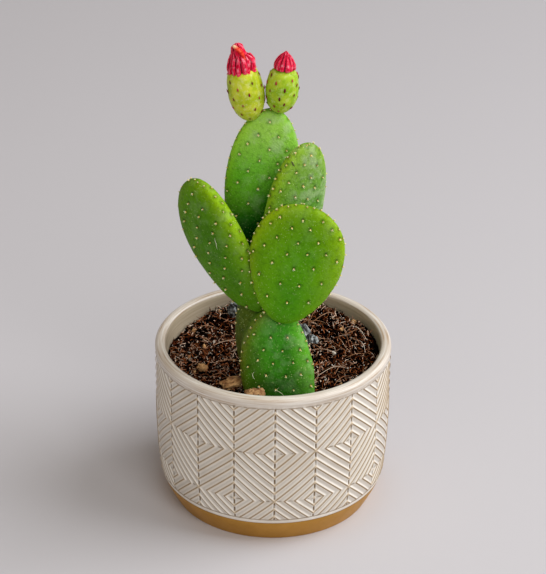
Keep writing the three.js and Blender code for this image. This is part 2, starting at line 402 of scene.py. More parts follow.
glaze = {
    "body": "eae3d8", "bodyDeep": "dfd6c9", "litFlankHighlight": "fdfbf6", "pool": "c6beb2", "warm": "dabc88",
    "break": "745212", "dash": "664808", "knot": "e3cfb2", "rim": "d6cabb", "rimPale": "ebe4da",
    "rimWarm": "b29574", "inside": "b2a289", "insidePale": "c4b59c", "speckle": "8d7358",
    "gold": "c2903c", "goldLight": "cc9a46", "goldEdge": "6b4718",
}
innerRadius = pot["rimRadius"] - 2 * pot["lipRadius"]


def throughPoints(points, steps):  # a smooth curve through the points, as a Catmull-Rom spline
    points = np.array(points, float)
    padded = np.vstack([points[0], points, points[-1]])
    curve = []
    for k in range(len(points) - 1):
        before, start, end, after = padded[k:k + 4]
        for t in np.arange(steps) / steps:
            leave, arrive = (end - before) / 2, (after - start) / 2
            curve.append((2 * t ** 3 - 3 * t ** 2 + 1) * start + (t ** 3 - 2 * t ** 2 + t) * leave
                         + (3 * t ** 2 - 2 * t ** 3) * end + (t ** 3 - t ** 2) * arrive)
    return np.vstack([curve, points[-1]])


def potRows():
    # rings of the pot as radius, height and how much relief each carries, from the foot up and over
    wall = throughPoints([(pot["footRadius"], 0), pot["heel"], (pot["bandRadius"], pot["bandTop"]),
                          pot["flank"], (pot["bodyRadius"], pot["upright"])], 24)

    def ring(z, proud=0.0, ribs=0):
        return float(np.interp(z, wall[:, 1], wall[:, 0])) + proud, z, ribs

    rows = [ring(z) for z in pot["footRows"]] + [ring(z, proud) for z, proud in pot["glazeEdge"]]
    step = relief["tier"] / (relief["steps"] * relief["ribsUp"] / relief["ribsAcross"])
    first = math.ceil((relief["bottom"] - relief["level"]) / step)
    last = math.floor((relief["top"] - relief["level"]) / step)
    rows += [ring(relief["level"] + k * step, 0, 1) for k in range(first, last + 1)]
    lip = pot["lipRadius"]
    middle = np.array([pot["rimRadius"], pot["height"]]) - lip
    start = -math.acos((pot["bodyRadius"] - middle[0]) / lip)
    for angle in np.linspace(start, math.pi, pot["lipSteps"] + 1):
        way = np.array([math.cos(angle), math.sin(angle)])
        square = pot["lipSquare"] if way[1] > 0 else 1
        rows.append((*(middle + lip * np.sign(way) * np.abs(way) ** square), 0))
    rows += [(innerRadius, z, 0) for z in pot["wallRows"]]
    inside = throughPoints([(innerRadius - inset, z) for inset, z in pot["corner"]]
                           + [(pot["floorRadius"], pot["floor"])], 2)
    rows += [(r, z, 0) for r, z in inside]
    foot = pot["footRadius"] - pot["footRing"]
    rows += [(pot["drainRadius"], pot["floor"], 0), (pot["drainRadius"], pot["recess"], 0),
             (foot - pot["recess"], pot["recess"], 0), (foot, 0, 0)]
    return np.array(rows)


def fold(value):  # 0 at even whole numbers and 1 at odd ones, straight between them
    return np.abs(value - 2 * np.round(value / 2))


def potPiece(material):
    radius, z, ribs = potRows().T[:, :, None]
    rows, steps = len(z), relief["steps"]
    columns = relief["panels"] * steps
    turn = math.radians(relief["firstLine"]) + turns(columns)
    across = fold(np.arange(columns) / steps)
    phase = relief["ribsUp"] * fold((z - relief["level"]) / relief["tier"]) + relief["ribsAcross"] * across
    off = np.abs(phase - np.round(phase))
    off = np.where(phase < 0.5, 0.5, off)  # the innermost diamond is flat
    height = relief["crest"] - relief["trough"] * (1 - (1 - 2 * off) ** 2)
    gap = np.minimum(across, 1 - across) * steps  # columns away from a panel's edge
    valley = np.clip((off - 0.12) / 0.15, 0, 1)
    height = height - valley * relief["groove"] * (gap < 0.5)
    height = height + valley * relief["shoulder"] * ((gap > 0.5) & (gap < 1.5))
    edge = np.minimum(z - relief["bottom"], relief["top"] - z)
    height = height * np.clip(edge / relief["fade"], 0, 1) - relief["step"] * (edge < relief["stepWidth"])
    points = onAxis(radius + height * ribs, turn, z)
    faces = []
    for row in range(rows):
        ahead = (row + 1) % rows
        low, high = row * columns, ahead * columns
        ribbed = ribs[row, 0] and ribs[ahead, 0]
        tierUp = math.floor(((z[row, 0] + z[ahead, 0]) / 2 - relief["level"]) / relief["tier"])
        for column in range(columns):
            right = (column + 1) % columns
            a, b, c, d = low + column, low + right, high + right, high + column
            if not ribbed:
                faces.append((a, b, c, d))
            elif (tierUp + column // steps) % 2 == 0:  # ribs fall to the right here
                faces += [(a, b, d), (b, c, d)]
            else:
                faces += [(a, b, c), (a, c, d)]
    makePiece("pot_glazed", points.reshape(-1, 3), faces, material, slot="glaze", stands=["pot"])


def potGlaze():
    f = Finish("stonewareGlaze", Coat_Roughness=0.2, Specular_IOR_Level=0.3)
    x, y, z = f.axes(f.place())
    z = z / mm
    angle = f.add("ShaderNodeMath", {"operation": "ARCTAN2"}, {0: x, 1: -y})
    radius = (x * x + y * y) ** 0.5 / mm
    top, bottom = relief["top"], relief["bottom"]
    panel = (angle * (180 / math.pi) - relief["firstLine"]) * (relief["panels"] / 360)
    lean = panel - (panel / 2).rounded() * 2
    tier = (z - relief["level"]) / relief["tier"]
    tierLean = tier - (tier / 2).rounded() * 2
    across, up = abs(lean), abs(tierLean)
    phase = up * relief["ribsUp"] + across * relief["ribsAcross"]
    off = phase - phase.rounded()
    falling = (lean * tierLean).above(0)  # 1 where the ribs fall to the right
    leftward = off * lean.sign()
    inside = z.between(bottom, bottom + 0.4) * z.between(top, top - 0.4)
    # brown breaks along each rib, set on its left side, away from the lamp, and a little stronger where the
    # ribs fall to the right: real glaze breaks that also paint that side's shade; and brown dashes along the
    # folds
    crest = phase.above(0.5)
    line = leftward.bell(-0.035, 0.092) * crest * f.grain(130, 2).between(0.1, 0.4) * inside
    line = line * (0.8 + falling * 0.2)
    halo = leftward.bell(-0.02, 0.13) * crest
    # painted highlight on the flank of each rib that faces the lamp, only where the ribs fall to the right
    litFlankHighlight = leftward.bell(0.13, 0.1) * crest * falling
    gap = across.least(1 - across) * relief["panelWidth"]  # how far away a panel's edge is
    valley = abs(off).between(0.14, 0.27)
    dash = gap.bell(0, 0.52) * valley * inside * f.grain(240, 2).between(0.25, 0.45)
    knot = gap.bell(0, 0.8) * (1 - valley)
    # the shoulders beside the fold dashes take the same white
    edge = (gap - 0.75).bell(0, 0.3) * valley
    levelGap = up.least(1 - up) * relief["tier"]
    levelDash = levelGap.bell(0, 0.4) * valley * f.grain(170, 2).between(0.5, 0.6) * inside
    border = (z.bell(top + 0.1, 0.36) * f.grain(420, 3).between(0.3, 0.5)).most(z.bell(bottom, 0.26))
    # the rim and the inner wall are streaked by the wheel
    ringwise = f.add("ShaderNodeCombineXYZ", sockets={0: angle * 2.2, 1: z * 0.9, 2: radius * 0.9})
    streak = f.grain(1.0, 3, at=ringwise)
    lip = f.coats(glaze["rimWarm"], (streak.between(0.24, 0.48), glaze["rim"]),
                  (streak.between(0.46, 0.7), glaze["rimPale"]),
                  (radius.bell(innerRadius + 0.25, 0.4) * z.above(pot["height"] - 4) * 0.55, glaze["break"]))
    wall = f.mix(streak.between(0.3, 0.75), glaze["inside"], glaze["insidePale"])
    band = 1 - z.between(pot["bandTop"] - 0.1, pot["bandTop"] + 0.1)
    gold = f.coats(glaze["gold"], (f.grain(90, 3).between(0.3, 0.7), glaze["goldLight"]),
                   (z.bell(pot["bandTop"], 0.3) * 0.6, glaze["goldEdge"]))
    body = f.coats(
        glaze["body"],
        (f.grain(60, 4).between(0.35, 0.7), glaze["bodyDeep"]),
        (abs(off).between(0.2, 0.5) * inside * 0.7, glaze["pool"]),
        (litFlankHighlight.most(edge) * inside * 0.7, glaze["litFlankHighlight"]),
        (halo * inside * 0.5, glaze["warm"]),
        (line * 0.95, glaze["break"]),
        (knot * inside * 0.65, glaze["knot"]),
        (levelDash * 0.7, glaze["dash"]),
        (dash * 0.95, glaze["dash"]),
        (border * 0.75, glaze["break"]),
        (z.between(top + 0.2, top + 0.7), lip),
        (1 - radius.between(innerRadius + 0.1, innerRadius + 0.4), wall),
        (f.cells(700).between(0.17, 0.08) * f.grain(160, 2).between(0.52, 0.62) * 0.3, glaze["speckle"]),
        (band, gold))
    dry = dash.most(levelDash).most(line * 0.6)
    return f.wear(Base_Color=body, Roughness=0.36 + f.grain(300, 2) * 0.16 + band * 0.04 + dry * 0.4,
                  Metallic=band * 0.8, Coat_Weight=0.3 - (dry + band * 0.9) * 0.3,
                  Normal=f.bump(f.grain(700, 3), 0.12, 0.0004))


potPiece(potGlaze())


# the pads

pads = table("base tip turn width thick taper sway bow", {
    "base_pad": ((8.6, -37, 56), (1.5, -31, 122.2), 0, 35.6, 16, -0.11, -2.8, 0),
    "stem_pad": ((-2.5, -15, 64), (-6.2, -13, 134), 22, 29, 15, 0, 0, 0),
    "front_pad": ((4.2, -37.6, 117.6), (14, -32, 179.1), 0, 45.8, 12, 0.2, 1.3, 0),
    "left_pad": ((-2.5, -21, 110), (-40.9, -10, 181.4), -46, 38.9, 13, 0.22, 0, -4.2),
    "tall_pad": ((-3, -4.5, 121.5), (-2.3, 5, 212.8), 0, 37, 13, 0.11, -3.5, 0),
    "right_pad": ((4, -12, 126.5), (15.6, -14, 203.3), 35, 33.2, 11.5, 0.08, -1.1, 0),
})
rooted = ["base_pad", "stem_pad"]
padBlunt, thickTaper = 0.72, 0.5  # how boxy a pad is in section, and how much of its taper its thickness has
padMesh = {"around": 168, "along": 104, "dimple": 0.16, "dimpleReach": 1.1, "ripple": 0.32, "fineRipple": 0.1}
trunk = {  # the two rooted pads run together over the blend, in millimetres
    "blend": 13, "around": 64, "along": 48, "overgrow": 1.02, "voxel": 0.85, "settle": 7,
    "deepest": -3.2, "areoleGap": 3.5, "stemFade": 12,
}
areoleRows = table("first gap grow spacing shift lean curve", {  # rows of areoles, from the tip down
    "base_pad": (6.4, 6.6, 1.03, 8.4, 0.6, -0.16, 0.012),
    "stem_pad": (8, 6.6, 1.03, 8, 0, 0.1, 0.012),
    "front_pad": (5.6, 5.4, 1.12, 10, 0.1, 0.04, 0.014),
    "left_pad": (4.6, 5.4, 1.07, 9.2, 3.4, -0.4, 0),
    "tall_pad": (6.6, 5.8, 1.08, 9.6, -1, -0.12, 0.01),
    "right_pad": (4.6, 5.2, 1.05, 7.8, 1.2, -0.3, 0),
})
tuft = {
    "felt": 0.48, "spikes": 11, "spikeLength": 1.08, "spikeWidth": 0.26, "rimGap": 5.4, "tipGap": 3.6,
    "cushion": ((1.0, -0.25), (0.86, 0.3), (0.45, 0.62)), "cushionTop": 0.72, "cushionRoot": -0.3,
}


def padLength(pad):
    return math.dist(pad["base"], pad["tip"])


def padFrame(pad):
    return growthFrame(pad["base"], pad["tip"], pad["turn"])[:2]


def padSurface(pad, share):
    # points of a pad from their shares across, through and along a unit sphere, in the pad's own axes
    a, b, c = share[..., 0], share[..., 1], share[..., 2]
    arch = 1 - c * c
    x = pad["width"] / 2 * a * (1 + pad["taper"] * c) / widestShare(pad["taper"]) + pad["sway"] * arch
    blunt = np.sign(b) * np.abs(b) ** padBlunt
    y = pad["thick"] / 2 * blunt * (1 + thickTaper * pad["taper"] * c) + pad["bow"] * arch
    return np.stack([x, y, padLength(pad) * (1 + c) / 2], axis=-1)


def padShares(pad, local):  # the way back: shares of the unit sphere for points in the pad's own axes
    c = 2 * local[..., 2] / padLength(pad) - 1
    arch = 1 - c * c
    wide = pad["width"] / 2 * (1 + pad["taper"] * c) / widestShare(pad["taper"])
    a = (local[..., 0] - pad["sway"] * arch) / wide
    b = (local[..., 1] - pad["bow"] * arch) / (pad["thick"] / 2 * (1 + thickTaper * pad["taper"] * c))
    return np.stack([a, np.sign(b) * np.abs(b) ** (1 / padBlunt), c], axis=-1)


def padDistance(pad, points):  # rough distance in millimetres from a pad's surface, less than 0 inside it
    start, axes = padFrame(pad)

    def reach(at):
        return np.linalg.norm(padShares(pad, (at - start) @ axes.T), axis=-1)

    slope = [(reach(points + d) - reach(points - d)) / 0.4 for d in np.eye(3) * 0.2]
    return (reach(points) - 1) / np.maximum(np.linalg.norm(slope, axis=0), 0.03)


def padAt(pad, x, z, side, least=0.1):  # share of the sphere at a place on one face, or None off the pad
    a, _, c = padShares(pad, np.array([x, 0.0, z]))
    rest = 1 - a * a - c * c
    return np.array([a, side * math.sqrt(rest), c]) if rest > least else None


def areoleShares(pad, rows, rng):  # where the areoles sit on a pad, with their sizes
    shares = []
    for side in (-1, 1):
        z, gap, count = padLength(pad) - rows["first"], rows["gap"], 0
        while z > 3:
            start = rows["shift"] * -side + (count % 2) * rows["spacing"] / 2
            for k in range(-4, 5):
                x = start + k * rows["spacing"] + rng.uniform(-0.8, 0.8)
                bent = z - rows["lean"] * x * side + rows["curve"] * x * x * min(1, count / 4)
                share = padAt(pad, x, bent + rng.uniform(-0.8, 0.8), side)
                if share is not None:
                    shares.append((share, 1.0))
            z -= gap
            gap *= rows["grow"]
            count += 1
    angle, last = 0.0, None
    while angle < 2 * math.pi:  # round the rim, starting from the tip
        share = np.array([math.sin(angle), rng.uniform(-0.16, 0.1), math.cos(angle)])
        here = padSurface(pad, share)
        gap = tuft["tipGap"] + (tuft["rimGap"] - tuft["tipGap"]) * min(1, (1 - share[2]) * 1.2)
        if last is None or np.linalg.norm(here - last) > gap * rng.uniform(0.8, 1.2):
            if share[2] > -0.93:
                shares.append((unit(share), 0.9))
            last = here
        angle += 0.02
    return shares


def outward(pad, share):  # unit normal of a pad where share points, in the pad's own axes
    side = unit(np.cross(share, (0.3, 0.5, 0.8)))
    other = np.cross(share, side)
    ends = [padSurface(pad, unit(share + way * 0.02)) for way in (side, -side, other, -other)]
    return unit(np.cross(ends[0] - ends[1], ends[2] - ends[3]))


def addTuft(pile, place, normal, size, rng):
    # a felt cushion with short barbed hairs fanning out of it
    side = unit(np.cross(normal, (0.2, 0.4, 0.9)))
    other = np.cross(normal, side)
    felt = tuft["felt"] * size
    ring = circle(6, side, other)
    points = [place + felt * (wide * ring + high * normal) for wide, high in tuft["cushion"]]
    points += [place + felt * high * normal for high in (tuft["cushionTop"], tuft["cushionRoot"])]
    faces = gridFaces(3, 6) + [(12 + k, 12 + (k + 1) % 6, 18) for k in range(6)]
    faces += [((k + 1) % 6, k, 19) for k in range(6)]
    pile.add(np.vstack(points), faces, rng.uniform(0.0, 0.35))
    for k in range(tuft["spikes"]):
        spin = 2.4 * k + rng.uniform(-0.4, 0.4)
        lean = rng.uniform(0.1, 0.85)
        around = math.cos(spin) * side + math.sin(spin) * other
        way = math.cos(lean) * normal + math.sin(lean) * around
        root = place + felt * (0.35 * normal + 0.5 * math.sin(lean) * around)
        cross = unit(np.cross(way, side + 0.3 * other))
        base = root + tuft["spikeWidth"] * size / 2 * circle(3, cross, np.cross(way, cross))
        end = root + way * tuft["spikeLength"] * size * rng.uniform(0.6, 1.1)
        pile.add(np.vstack([base, end]), [(0, 1, 3), (1, 2, 3), (2, 0, 3), (2, 1, 0)], rng.uniform(0.5, 1.0))


def areolesOf(name, seed):  # places, normals and sizes of a pad's areoles, in the object's axes
    pad, rng = pads[name], random.Random(seed)
    start, axes = padFrame(pad)
    found = areoleShares(pad, areoleRows[name], rng)
    spots = [start + padSurface(pad, share) @ axes for share, _ in found]
    normals = [outward(pad, share) @ axes for share, _ in found]
    return np.array(spots), np.array(normals), [size * rng.uniform(0.8, 1.15) for _, size in found]


def nearest(points, spots):  # distance from each point to the closest of the spots
    best = np.full(len(points), 1e3)
    for spot in spots:
        best = np.minimum(best, np.linalg.norm(points - spot, axis=1))
    return best


def finishPad(name, points, faces, normals, material, spots, seed, stands):
    # ripples and dimples the skin, marks it for its material, and plants the tufts
    places, ways, sizes = spots
    pad = pads[stands[0]]
    start, axes = padFrame(pad)
    away = nearest(points, places)
    ripple = smoothNoise(points, 0.09, seed) * padMesh["ripple"]
    ripple += smoothNoise(points, 0.3, seed + 1) * padMesh["fineRipple"]
    dimple = padMesh["dimple"] * np.exp(-(away / padMesh["dimpleReach"]) ** 2)
    stem = np.zeros(len(points))  # 1 where the older pad of the trunk shows
    if len(stands) > 1:
        behind = padDistance(pad, points) - padDistance(pads[stands[1]], points)
        stem = np.clip(0.5 + behind / trunk["stemFade"], 0, 1)
    marks = {
        "spot": away,
        "scar": nearest(points, places + 0.62 * axes[2] + 0.25 * ways),  # a dark crescent above each tuft
        "place": padShares(pad, (points - start) @ axes.T),
        "stem": stem,
        "near": np.min([padDistance(pads[other], points) for other in pads if other not in stands], axis=0),
    }
    points = points + normals * (ripple - dimple)[:, None]
    makePiece(name + "_skin", points, faces, material, slot="cactus_skin", stands=stands, marks=marks)
    pile, rng = Pile(), random.Random(seed + 100)
    for place, way, size in zip(places, ways, sizes):
        addTuft(pile, place, way, size, rng)
    pile.piece(name + "_areoles", hair, smooth=False)


def padPiece(name, material, seed):
    pad = pads[name]
    start, axes = padFrame(pad)
    share, faces = sphereGrid(padMesh["around"], padMesh["along"])
    local = padSurface(pad, share)
    arch = 1 - share[:, 2] ** 2
    out = unit(local - np.column_stack([pad["sway"] * arch, pad["bow"] * arch, local[:, 2]]))
    finishPad(name, start + local @ axes, faces, out @ axes, material, areolesOf(name, seed), seed, [name])


def trunkDistance(points):  # the two rooted pads, run together smoothly
    first, second = (padDistance(pads[name], points) for name in rooted)
    share = np.clip(0.5 + (second - first) / (2 * trunk["blend"]), 0, 1)
    return second * (1 - share) + first * share - trunk["blend"] * share * (1 - share)


def trunkSlope(points):
    slope = [trunkDistance(points + d) - trunkDistance(points - d) for d in np.eye(3) * 0.3]
    return unit(np.stack(slope, axis=-1))


def ontoTrunk(points, times):  # points drawn onto the trunk's surface
    for _ in range(times):
        points = points - trunkDistance(points)[:, None] * trunkSlope(points)
    return points


def trunkPiece(material, seed):
    # the base pad and the older pad behind it have grown into one: their union, drawn onto one smooth surface
    corners, faces = [], []
    share, ball = sphereGrid(trunk["around"], trunk["along"])
    for name in rooted:
        start, axes = padFrame(pads[name])
        faces += [tuple(k + len(corners) * len(share) for k in face) for face in ball]
        corners.append(start + padSurface(pads[name], share * trunk["overgrow"]) @ axes)
    rough = bpy.data.meshes.new("trunkRough")
    rough.from_pydata((np.vstack(corners) * mm).tolist(), [], faces)
    holder = addObject("trunkRough", rough)
    remesh = holder.modifiers.new("remesh", "REMESH")
    remesh.mode = "VOXEL"
    remesh.voxel_size = trunk["voxel"] * mm
    solid = holder.evaluated_get(bpy.context.evaluated_depsgraph_get()).to_mesh()
    points = np.array([vertex.co for vertex in solid.vertices]) / mm
    faces = [tuple(face.vertices) for face in solid.polygons]
    edges = np.array([tuple(edge.vertices) for edge in solid.edges])
    bpy.data.objects.remove(holder)
    bpy.data.meshes.remove(rough)
    for _ in range(trunk["settle"]):
        total, count = np.zeros_like(points), np.zeros(len(points))
        for one, other in (edges.T, edges.T[::-1]):
            np.add.at(total, one, points[other])
            np.add.at(count, one, 1)
        points = ontoTrunk((points + total / count[:, None]) / 2, 2)
    found = [areolesOf(name, seed + k) for k, name in enumerate(rooted)]
    places, _, sizes = (np.concatenate(parts) for parts in zip(*found))
    shown = trunkDistance(places) > trunk["deepest"]
    places, sizes = ontoTrunk(places[shown], 3), sizes[shown]
    keep = [k for k, place in enumerate(places)
            if all(np.linalg.norm(place - places[q]) > trunk["areoleGap"] for q in range(k))]
    places = places[keep]
    spots = places, trunkSlope(places), sizes[keep]
    finishPad("trunk", points, faces, trunkSlope(points), material, spots, seed, rooted)


# greens of a face from deep to light and of the tip, then painted light and shade: on the rims and the side
# towards the lamp, on the side away from it, and at the foot
skins = table("deep light tip rim leftRim side sideFrom footTone foot haze bloom gloss fleck mottle", {
    "trunk": ("225c0a", "3a8814", "429620", "58a01c", "80901e", "66b41c", 0.25, "0f4208", 0.25, 0.14, 0.13,
              0.07, 0.55, 0.26),
    "front_pad": ("397e04", "529206", "648f02", "90b60a", "a2c012", "86ac08", 0.1, "529812", 0.4, 0.05, 0.03,
                  0.05, 0.3, 0.17),
    "left_pad": ("366a0a", "4e8a0c", "60980c", "94be0a", "7c9c0a", "84b60a", 0.3, "62a00c", 0.6, 0.1, 0.03,
                 0.06, 0.5, 0.2),
    "tall_pad": ("3ca212", "70c02a", "acd85a", "80bc2c", "a0dc1c", "76bc28", 0.1, "004a02", 1.35, 0.34, 0.1,
                 0.1, 0.5, 0.22),
    "right_pad": ("508e1c", "74aa3a", "80a43c", "8cb822", "96c006", "72a63c", 0.1, "4a9010", 0.3, 0.36, 0.2,
                  0.12, 0.6, 0.3),
})
skinMarks = {
    # the ring colour is painted shade round each tuft, the contact colour a painted contact shadow, and the
    # bloom colour a waxy bloom partly painted as sheen
    "oldStem": "4e4c14", "mottle": "143c04", "pale": "bcd888", "ring": "24520c", "scar": "0c2002",
    "haze": "c0d2a8", "bloom": "b6d49c", "fleck": "e0e8a0", "contactShade": "082402",
    "hair": ((0.0, "8a641c"), (0.35, "dcbc54"), (0.5, "fdf2a4"), (1.0, "fffee0")),
}


def padSkin(name):
    look = skins[name]
    f = Finish(name + "Skin", Specular_IOR_Level=look["gloss"], Coat_Weight=0.02, Coat_Roughness=0.4)
    a, b, c = f.axes(f.mark("place", "Vector"))
    stem, mottle = f.mark("stem"), f.grain(520, 3)
    rim = (1 - abs(b).between(0.0, 0.7)) * (0.4 + c.between(-0.8, 0.1) * 0.6)
    foot = (1 - c.between(-0.75, 0.46)) * (1 - b.between(-0.1, 0.7) * 0.75)  # painted shade at the foot, where the next pad grows in front of it; less on the back
    haze = f.grain(150, 5).between(0.46, 0.66) * a.between(-0.8, 0.1) * (0.25 + c.between(-0.5, 0.3) * 0.75)
    # waxy bloom, whitened only on the side towards the lamp, where it is partly a painted sheen
    bloom = a.between(0.45, 1.0) * f.grain(210, 4).between(0.36, 0.6)
    fleck = f.cells(620).between(0.19, 0.08) * f.grain(130, 2).between(0.42, 0.56)
    # painted contact shadow where another pad comes within a millimetre or so
    contactShade = (1 - f.mark("near").between(0.2, 1.5)) * (0.85 - stem.between(0.1, 0.6) * 0.6)
    green = f.coats(
        look["deep"],
        (f.grain(45, 4).between(0.36, 0.66), look["light"]),
        (c.between(0.1, 1.0) * 0.8, look["tip"]),
        # painted light on the side towards the lamp
        (a.between(look["sideFrom"], 0.95) * 0.6, look["side"]),
        # painted light and shade on the side away from the lamp
        ((1 - a.between(-1.0, 0.0)) * 0.24, look["leftRim"]),
        # rims: a yellower green, painted as lit on the side towards the lamp, and given the shaded-side tone
        # away from it
        (rim * a.between(-0.3, 0.6) * 0.85, look["rim"]),
        (rim * (1 - a.between(-0.6, 0.3)) * 0.7, look["leftRim"]),
        # painted shade at the foot
        (foot * look["foot"], look["footTone"]),
        (stem.between(0.02, 0.6) * 0.75, skinMarks["oldStem"]),
        ((1 - mottle.between(0.34, 0.5)) * look["mottle"] * 1.1, skinMarks["mottle"]),
        (f.grain(1000, 2).between(0.59, 0.7) * look["mottle"] * 0.8, skinMarks["pale"]),
        # painted shade round each tuft
        (f.mark("spot").bell(1.0, 0.6) * 0.3, skinMarks["ring"]),
        (f.mark("scar").bell(0, 0.7) * 0.95, skinMarks["scar"]),
        (haze * look["haze"], skinMarks["haze"]),
        (bloom * look["bloom"], skinMarks["bloom"]),
        (fleck * look["fleck"], skinMarks["fleck"]),
        (contactShade, skinMarks["contactShade"]))
    return f.wear(Base_Color=green, Roughness=0.45 + f.grain(120, 3) * 0.2,
                  Normal=f.bump(f.grain(1100, 3) + f.grain(300, 2) * 1.4, 0.6, 0.0005))


hair = toneFinish("glochidHair", skinMarks["hair"], Roughness=0.7, Specular_IOR_Level=0.3)
trunkPiece(padSkin("trunk"), 11)
for seed, name in enumerate(("front_pad", "left_pad", "tall_pad", "right_pad")):
    padPiece(name, padSkin(name), 13 + seed)


# scratches and scars on the skins

scratches = [  # pad, tone, width in millimetres, and points across and along the pad
    ("left_pad", 0.9, 0.34, ((8.3, 53.7), (7.5, 52.2), (7.3, 50.6), (6.6, 49.2), (6.2, 47.6))),
    ("base_pad", 0.95, 0.34, ((-14.0, 36.4), (-14.8, 35.2), (-14.7, 33.8), (-14.1, 32.6))),
    ("base_pad", 0.75, 0.34, ((-2.6, 27.6), (-3.7, 26.2), (-2.6, 25.2), (-1.4, 24.0), (-0.4, 22.2))),
    ("right_pad", 0.05, 0.6, ((-9.9, 70.4), (-9.3, 69.8), (-9.1, 69.0), (-8.4, 68.4))),
]


def scratchMarks(material):
    pile = Pile()
    for name, tone, wide, places in scratches:
        pad = pads[name]
        start, axes = padFrame(pad)
        path = []
        for x, z in places:
            share = padAt(pad, x, z, -1, 0.02)
            point = start + padSurface(pad, share) @ axes
            way = outward(pad, share) @ axes
            if name in rooted:
                point = ontoTrunk(point[None], 3)[0]
                way = trunkSlope(point[None])[0]
            path.append(point + way * 0.22)
        path = throughPoints(path, 4)
        pile.add(*strand(path, wide * np.sin(np.linspace(0.35, math.pi - 0.35, len(path))), 5), tone)
    pile.piece("skin_scratches", material)


scratchMarks(toneFinish("driedScratch", ((0.0, "2e1c10"), (0.5, "9a9a5c"), (1.0, "e2ecc8")), Roughness=0.7))


# the fruits and their closed flowers

flowers = {  # profile and furl hold heights above the fruit's top and radii
    "left": {
        "base": (-11.5, 3, 207.4), "top": (-16.2, 3, 232.4), "fruitWidth": 17.6, "taper": -0.07,
        "dome": 0.075, "closing": (0.98, 0.2), "skirt": 2.1, "lobe": 1.5, "loose": 0.3, "pleat": 1.3,
        "overlap": 1.25, "layer": 0.55, "twist": 10, "lean": 0.13, "seed": 60,
        "tips": (11.6, 10.2, 8.6, 11.0, 13.0, 10.4, 12.6),
        "profile": ((0.6, 6.6), (3.4, 6.9), (5.8, 6.7), (7.6, 6.0), (9.4, 4.8), (11.8, 3.9), (13.6, 3.2)),
        "furl": ((0, 5), (6, 4.8), (9, 4.0), (11.6, 3.4), (13.6, 2.9), (15, 2.2)),
    },
    "right": {
        "base": (1.9, 3, 211.7), "top": (3.9, 3, 234), "fruitWidth": 15.8, "taper": -0.2, "dome": 0.03,
        "closing": (0.9, 0.17), "skirt": 1.1, "lobe": 0.5, "loose": 0.1, "pleat": 0.8, "overlap": 1.2,
        "layer": 0.3, "twist": 6, "lean": 0.0, "seed": 80, "tips": (9.6, 9.2, 9.4, 9.0, 9.3, 9.2),
        "profile": ((0.4, 4.9), (1.4, 5.2), (3, 5.1), (4.4, 4.6), (6, 3.7), (7.7, 2.5), (9, 1.1), (9.8, 0.5)),
        "furl": ((0, 4.2), (4, 3.6), (6, 2.7), (7.7, 1.6), (9.5, 0.6)),
    },
}
fruitCut = 0.5
fruitMesh = {"around": 110, "along": 70, "ripple": 0.25, "bump": 0.14, "bumpReach": 1.5}
scale = {
    "turn": 2.4, "length": 2.5, "width": 0.9, "lift": 0.5, "count": 34, "lowest": 0.11, "span": 0.86,
    "widths": (0.6, 1.0, 0.7, 0.1), "flat": 0.55,
}
petalMesh = {"across": 30, "along": 40, "thick": 0.8, "pleats": 2, "budAround": 120, "budAlong": 60}
tongue = {
    "path": ((14.9, -0.5), (14.0, -0.2), (12.6, 0.25), (11, 0.46), (9.2, 0.54), (7.4, 0.56)),  # height, turn
    "width": 2.9,
}


def fruitSurface(flower, share):
    # points of a fruit from turn (radians) and height, where height runs from 0 to 1 at the flat top
    turn, height = share[..., 0], share[..., 1]
    c = (1 + fruitCut) * height - 1
    radius = flower["fruitWidth"] / 2 / widestShare(flower["taper"]) * np.sqrt(np.maximum(0, 1 - c * c))
    radius = radius * (1 + flower["taper"] * c)
    begin, span = flower["closing"]
    radius = radius * np.sqrt(np.maximum(0, 1 - (np.maximum(0, height - begin) / span) ** 2))
    return onAxis(radius, turn, math.dist(flower["base"], flower["top"]) * height)


def fruitPiece(side, material, scaleMaterial, seed):
    flower, rng = flowers[side], random.Random(seed)
    start, axes, length = growthFrame(flower["base"], flower["top"])
    around, along, top = fruitMesh["around"], fruitMesh["along"], 1 + flower["dome"]
    rise = top * (1 - np.cos(np.linspace(0.035, math.pi / 2, along)))
    height, angle = np.meshgrid(rise, turns(around), indexing="ij")
    local = fruitSurface(flower, np.stack([angle, height], axis=-1)).reshape(-1, 3)
    local = np.vstack([local, (0, 0, 0), (0, 0, length * top)])
    spots = []
    for k in range(scale["count"]):
        high = scale["lowest"] + scale["span"] * (k + 0.5) / scale["count"]
        spin = k * scale["turn"] + rng.uniform(-0.16, 0.16)
        places = [(spin, high), (spin, high + 0.01), (spin + 0.01, high)]
        here, above, beside = fruitSurface(flower, np.array(places))
        up = unit(above - here)
        spots.append((here, unit(np.cross(beside - here, up)), up))
    away = nearest(local, [here for here, *_ in spots])
    swell = smoothNoise(local, 0.18, seed) * fruitMesh["ripple"]
    swell += fruitMesh["bump"] * np.exp(-(away / fruitMesh["bumpReach"]) ** 2)
    local = local + unit(local * (1, 1, 0)) * swell[:, None]
    makePiece(side + "_fruit_skin", start + local @ axes, cappedFaces(along, around), material,
              slot="fruit_skin", stands=[side + "_fruit"], marks={"spot": away, "rise": local[:, 2] / length})
    pile = Pile()
    for here, normal, up in spots:
        size = rng.uniform(0.75, 1.15)
        ahead, lift = up * scale["length"] * size, normal * scale["lift"] * size
        path = [here - normal * 0.15 - ahead * 0.42, here + normal * 0.22 * size,
                here + ahead * 0.35 + lift * 0.8, here + ahead * 0.58 + lift * 1.1]
        ring = scale["width"] / 2 * size * circle(6, np.cross(up, normal), scale["flat"] * normal)
        rings = [point + wide * ring for point, wide in zip(path, scale["widths"])]
        pile.add(start + np.vstack(rings) @ axes, tubeFaces(4, 6), rng.random())
    pile.piece(side + "_fruit_scales", scaleMaterial)


def throughHeights(profile, z):  # radius of a smooth profile at a height
    curve = throughPoints(profile, 6)
    return np.interp(z, curve[:, 0], curve[:, 1])


